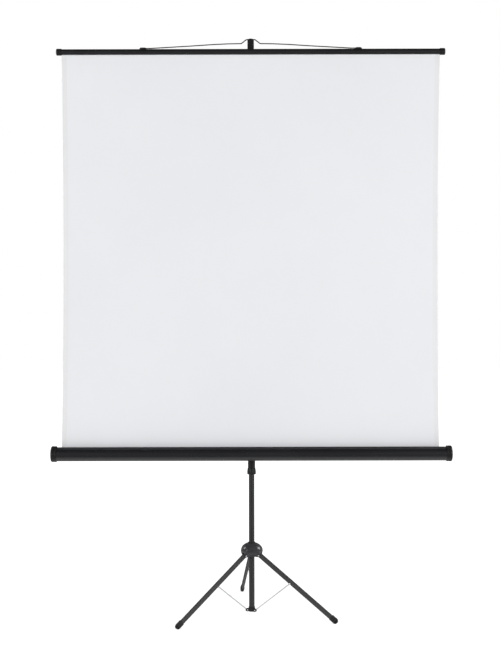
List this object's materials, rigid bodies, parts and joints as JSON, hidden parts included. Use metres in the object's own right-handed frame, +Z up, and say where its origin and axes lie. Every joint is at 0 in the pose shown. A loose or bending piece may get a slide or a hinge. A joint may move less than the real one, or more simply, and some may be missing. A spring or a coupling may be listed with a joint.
{
  "type": "tripod projection screen",
  "caption": "Portable projection screen: white fabric drawn from a round black case on a folding tripod mast, with its top bar hung by a wire bail on the extension's hook.",
  "frame": {"origin": "on the floor, in the middle of the opened screen's bounding box", "axes": "+Z up along the mast, +X along the case, -Y towards the viewer in front of the fabric"},
  "size_m": [1.582, 0.5876, 2.3085],
  "materials": {
    "black_paint": "satin black powder coat",
    "black_plastic": "moulded black plastic, soft gloss",
    "black_rubber": "matt black rubber",
    "silver_steel": "bright zinc-plated steel",
    "spring_steel": "oiled spring steel",
    "case_paint": "satin black paint",
    "screen_fabric": "matt white coated projection fabric",
    "white_plastic": "natural white plastic",
    "bare_aluminium": "drawn aluminium"
  },
  "bodies": {
    "mast": {"mast_tube": "black_paint", "mast_foot": "black_plastic", "mast_lock_collar": "black_plastic", "strut_foot_rivet_left": "silver_steel", "strut_foot_rivet_right": "silver_steel", "strut_foot_rivet_rear": "silver_steel"},
    "hub": {"hub_body": "black_plastic", "hub_bush": "black_plastic", "leg_pin_left": "silver_steel", "leg_pin_right": "silver_steel", "leg_pin_rear": "silver_steel"},
    "leg_left": {"leg_tube_left": "black_paint", "leg_foot_left": "black_rubber"},
    "leg_right": {"leg_tube_right": "black_paint", "leg_foot_right": "black_rubber"},
    "leg_rear": {"leg_tube_rear": "black_paint", "leg_foot_rear": "black_rubber"},
    "strut_left": {"strut_left": "silver_steel", "strut_leg_rivet_left": "silver_steel"},
    "strut_right": {"strut_right": "silver_steel", "strut_leg_rivet_right": "silver_steel"},
    "strut_rear": {"strut_rear": "silver_steel", "strut_leg_rivet_rear": "silver_steel"},
    "lock_knob": {"lock_knob": "black_plastic"},
    "carriage": {"carriage_body": "black_plastic", "pivot_bolt": "silver_steel", "pivot_washer": "silver_steel"},
    "clamp_ring": {"clamp_ring": "black_plastic"},
    "extension": {"extension_tube": "bare_aluminium", "extension_bush": "white_plastic", "hook_head": "black_plastic", "head_pin": "silver_steel"},
    "case": {"case_bracket": "black_plastic", "bracket_screw_1": "silver_steel", "bracket_screw_2": "silver_steel", "bracket_screw_3": "silver_steel", "bracket_screw_4": "silver_steel", "case_tube": "case_paint", "case_cap_left": "black_plastic", "case_cap_right": "black_plastic", "cap_screw_left_1": "silver_steel", "cap_screw_left_2": "silver_steel", "cap_screw_right_1": "silver_steel", "cap_screw_right_2": "silver_steel", "spring_shaft": "silver_steel", "fabric": "screen_fabric"},
    "roller": {"roller_tube": "bare_aluminium", "roller_wrap": "screen_fabric", "roller_plug_left": "white_plastic", "roller_plug_right": "white_plastic", "idle_gudgeon": "silver_steel", "roller_spring": "spring_steel"},
    "top_bar": {"top_bar": "black_paint", "top_bar_cap_left": "black_plastic", "top_bar_cap_right": "black_plastic", "bail_lug_left": "black_plastic", "bail_lug_right": "black_plastic", "fabric_keder": "white_plastic"},
    "bail": {"bail_wire": "black_paint"}
  },
  "joints": [
    {"name": "hub_slide", "type": "slide", "parent": "mast", "child": "hub", "axis": [0, 0, 1], "range_m": [0, 0.1361]},
    {"name": "leg_fold_left", "type": "hinge", "parent": "hub", "child": "leg_left", "pos_m": [-0.02778, -0.0905, 0.2394], "axis": [0.5962, -0.8028, 0], "range_deg": [0, 54.4]},
    {"name": "leg_fold_right", "type": "hinge", "parent": "hub", "child": "leg_right", "pos_m": [0.03175, -0.08361, 0.2394], "axis": [0.3971, 0.9178, 0], "range_deg": [0, 54.4]},
    {"name": "leg_fold_rear", "type": "hinge", "parent": "hub", "child": "leg_rear", "pos_m": [-0.00398, -0.0355, 0.2394], "axis": [-0.9934, -0.1149, 0], "range_deg": [0, 54.4]},
    {"name": "strut_fold_left", "type": "hinge", "parent": "mast", "child": "strut_left", "pos_m": [-0.01405, -0.0803, 0.018], "axis": [-0.5962, 0.8028, 0], "range_deg": [0, 47.41]},
    {"name": "strut_fold_right", "type": "hinge", "parent": "mast", "child": "strut_right", "pos_m": [0.01606, -0.07682, 0.018], "axis": [-0.3971, -0.9178, 0], "range_deg": [0, 47.41]},
    {"name": "strut_fold_rear", "type": "hinge", "parent": "mast", "child": "strut_rear", "pos_m": [-0.00201, -0.05248, 0.018], "axis": [0.9934, 0.1149, 0], "range_deg": [0, 47.41]},
    {"name": "lock_knob_turn", "type": "hinge", "parent": "mast", "child": "lock_knob", "pos_m": [0, -0.06987, 1.3125], "axis": [0, 1, 0], "range_deg": [0, 360]},
    {"name": "carriage_slide", "type": "slide", "parent": "mast", "child": "carriage", "axis": [0, 0, 1], "range_m": [-0.06, 0.2]},
    {"name": "clamp_ring_twist", "type": "hinge", "parent": "carriage", "child": "clamp_ring", "pos_m": [0, -0.06987, 0.5734], "axis": [0, 0, 1], "range_deg": [0, 90]},
    {"name": "extension_slide", "type": "slide", "parent": "carriage", "child": "extension", "axis": [0, 0, 1], "range_m": [-0.84, 0]},
    {"name": "case_turn", "type": "hinge", "parent": "carriage", "child": "case", "pos_m": [0, -0.06987, 0.6547], "axis": [0, -1, 0], "range_deg": [0, 50]},
    {"name": "screen_pull", "type": "slide", "parent": "case", "child": "top_bar", "axis": [0, 0, 1], "range_m": [-0.84, 0], "deforming": ["fabric"]},
    {"name": "roller_turn", "type": "hinge", "parent": "case", "child": "roller", "pos_m": [0, -0.14987, 0.6547], "axis": [1, 0, 0], "range_deg": [-2540, 0]},
    {"name": "bail_swing", "type": "hinge", "parent": "top_bar", "child": "bail", "pos_m": [0, -0.13087, 2.259], "axis": [1, 0, 0], "range_deg": [0, 130]}
  ],
  "couplings": [
    {"joint": "leg_fold_left", "follows": "hub_slide", "rad_per_m": 6.9762},
    {"joint": "leg_fold_right", "follows": "hub_slide", "rad_per_m": 6.9762},
    {"joint": "leg_fold_rear", "follows": "hub_slide", "rad_per_m": 6.9762},
    {"joint": "strut_fold_left", "follows": "hub_slide", "rad_per_m": 6.0791},
    {"joint": "strut_fold_right", "follows": "hub_slide", "rad_per_m": 6.0791},
    {"joint": "strut_fold_rear", "follows": "hub_slide", "rad_per_m": 6.0791},
    {"joint": "screen_pull", "follows": "extension_slide", "ratio": 1},
    {"joint": "roller_turn", "follows": "extension_slide", "rad_per_m": 52.632}
  ]
}
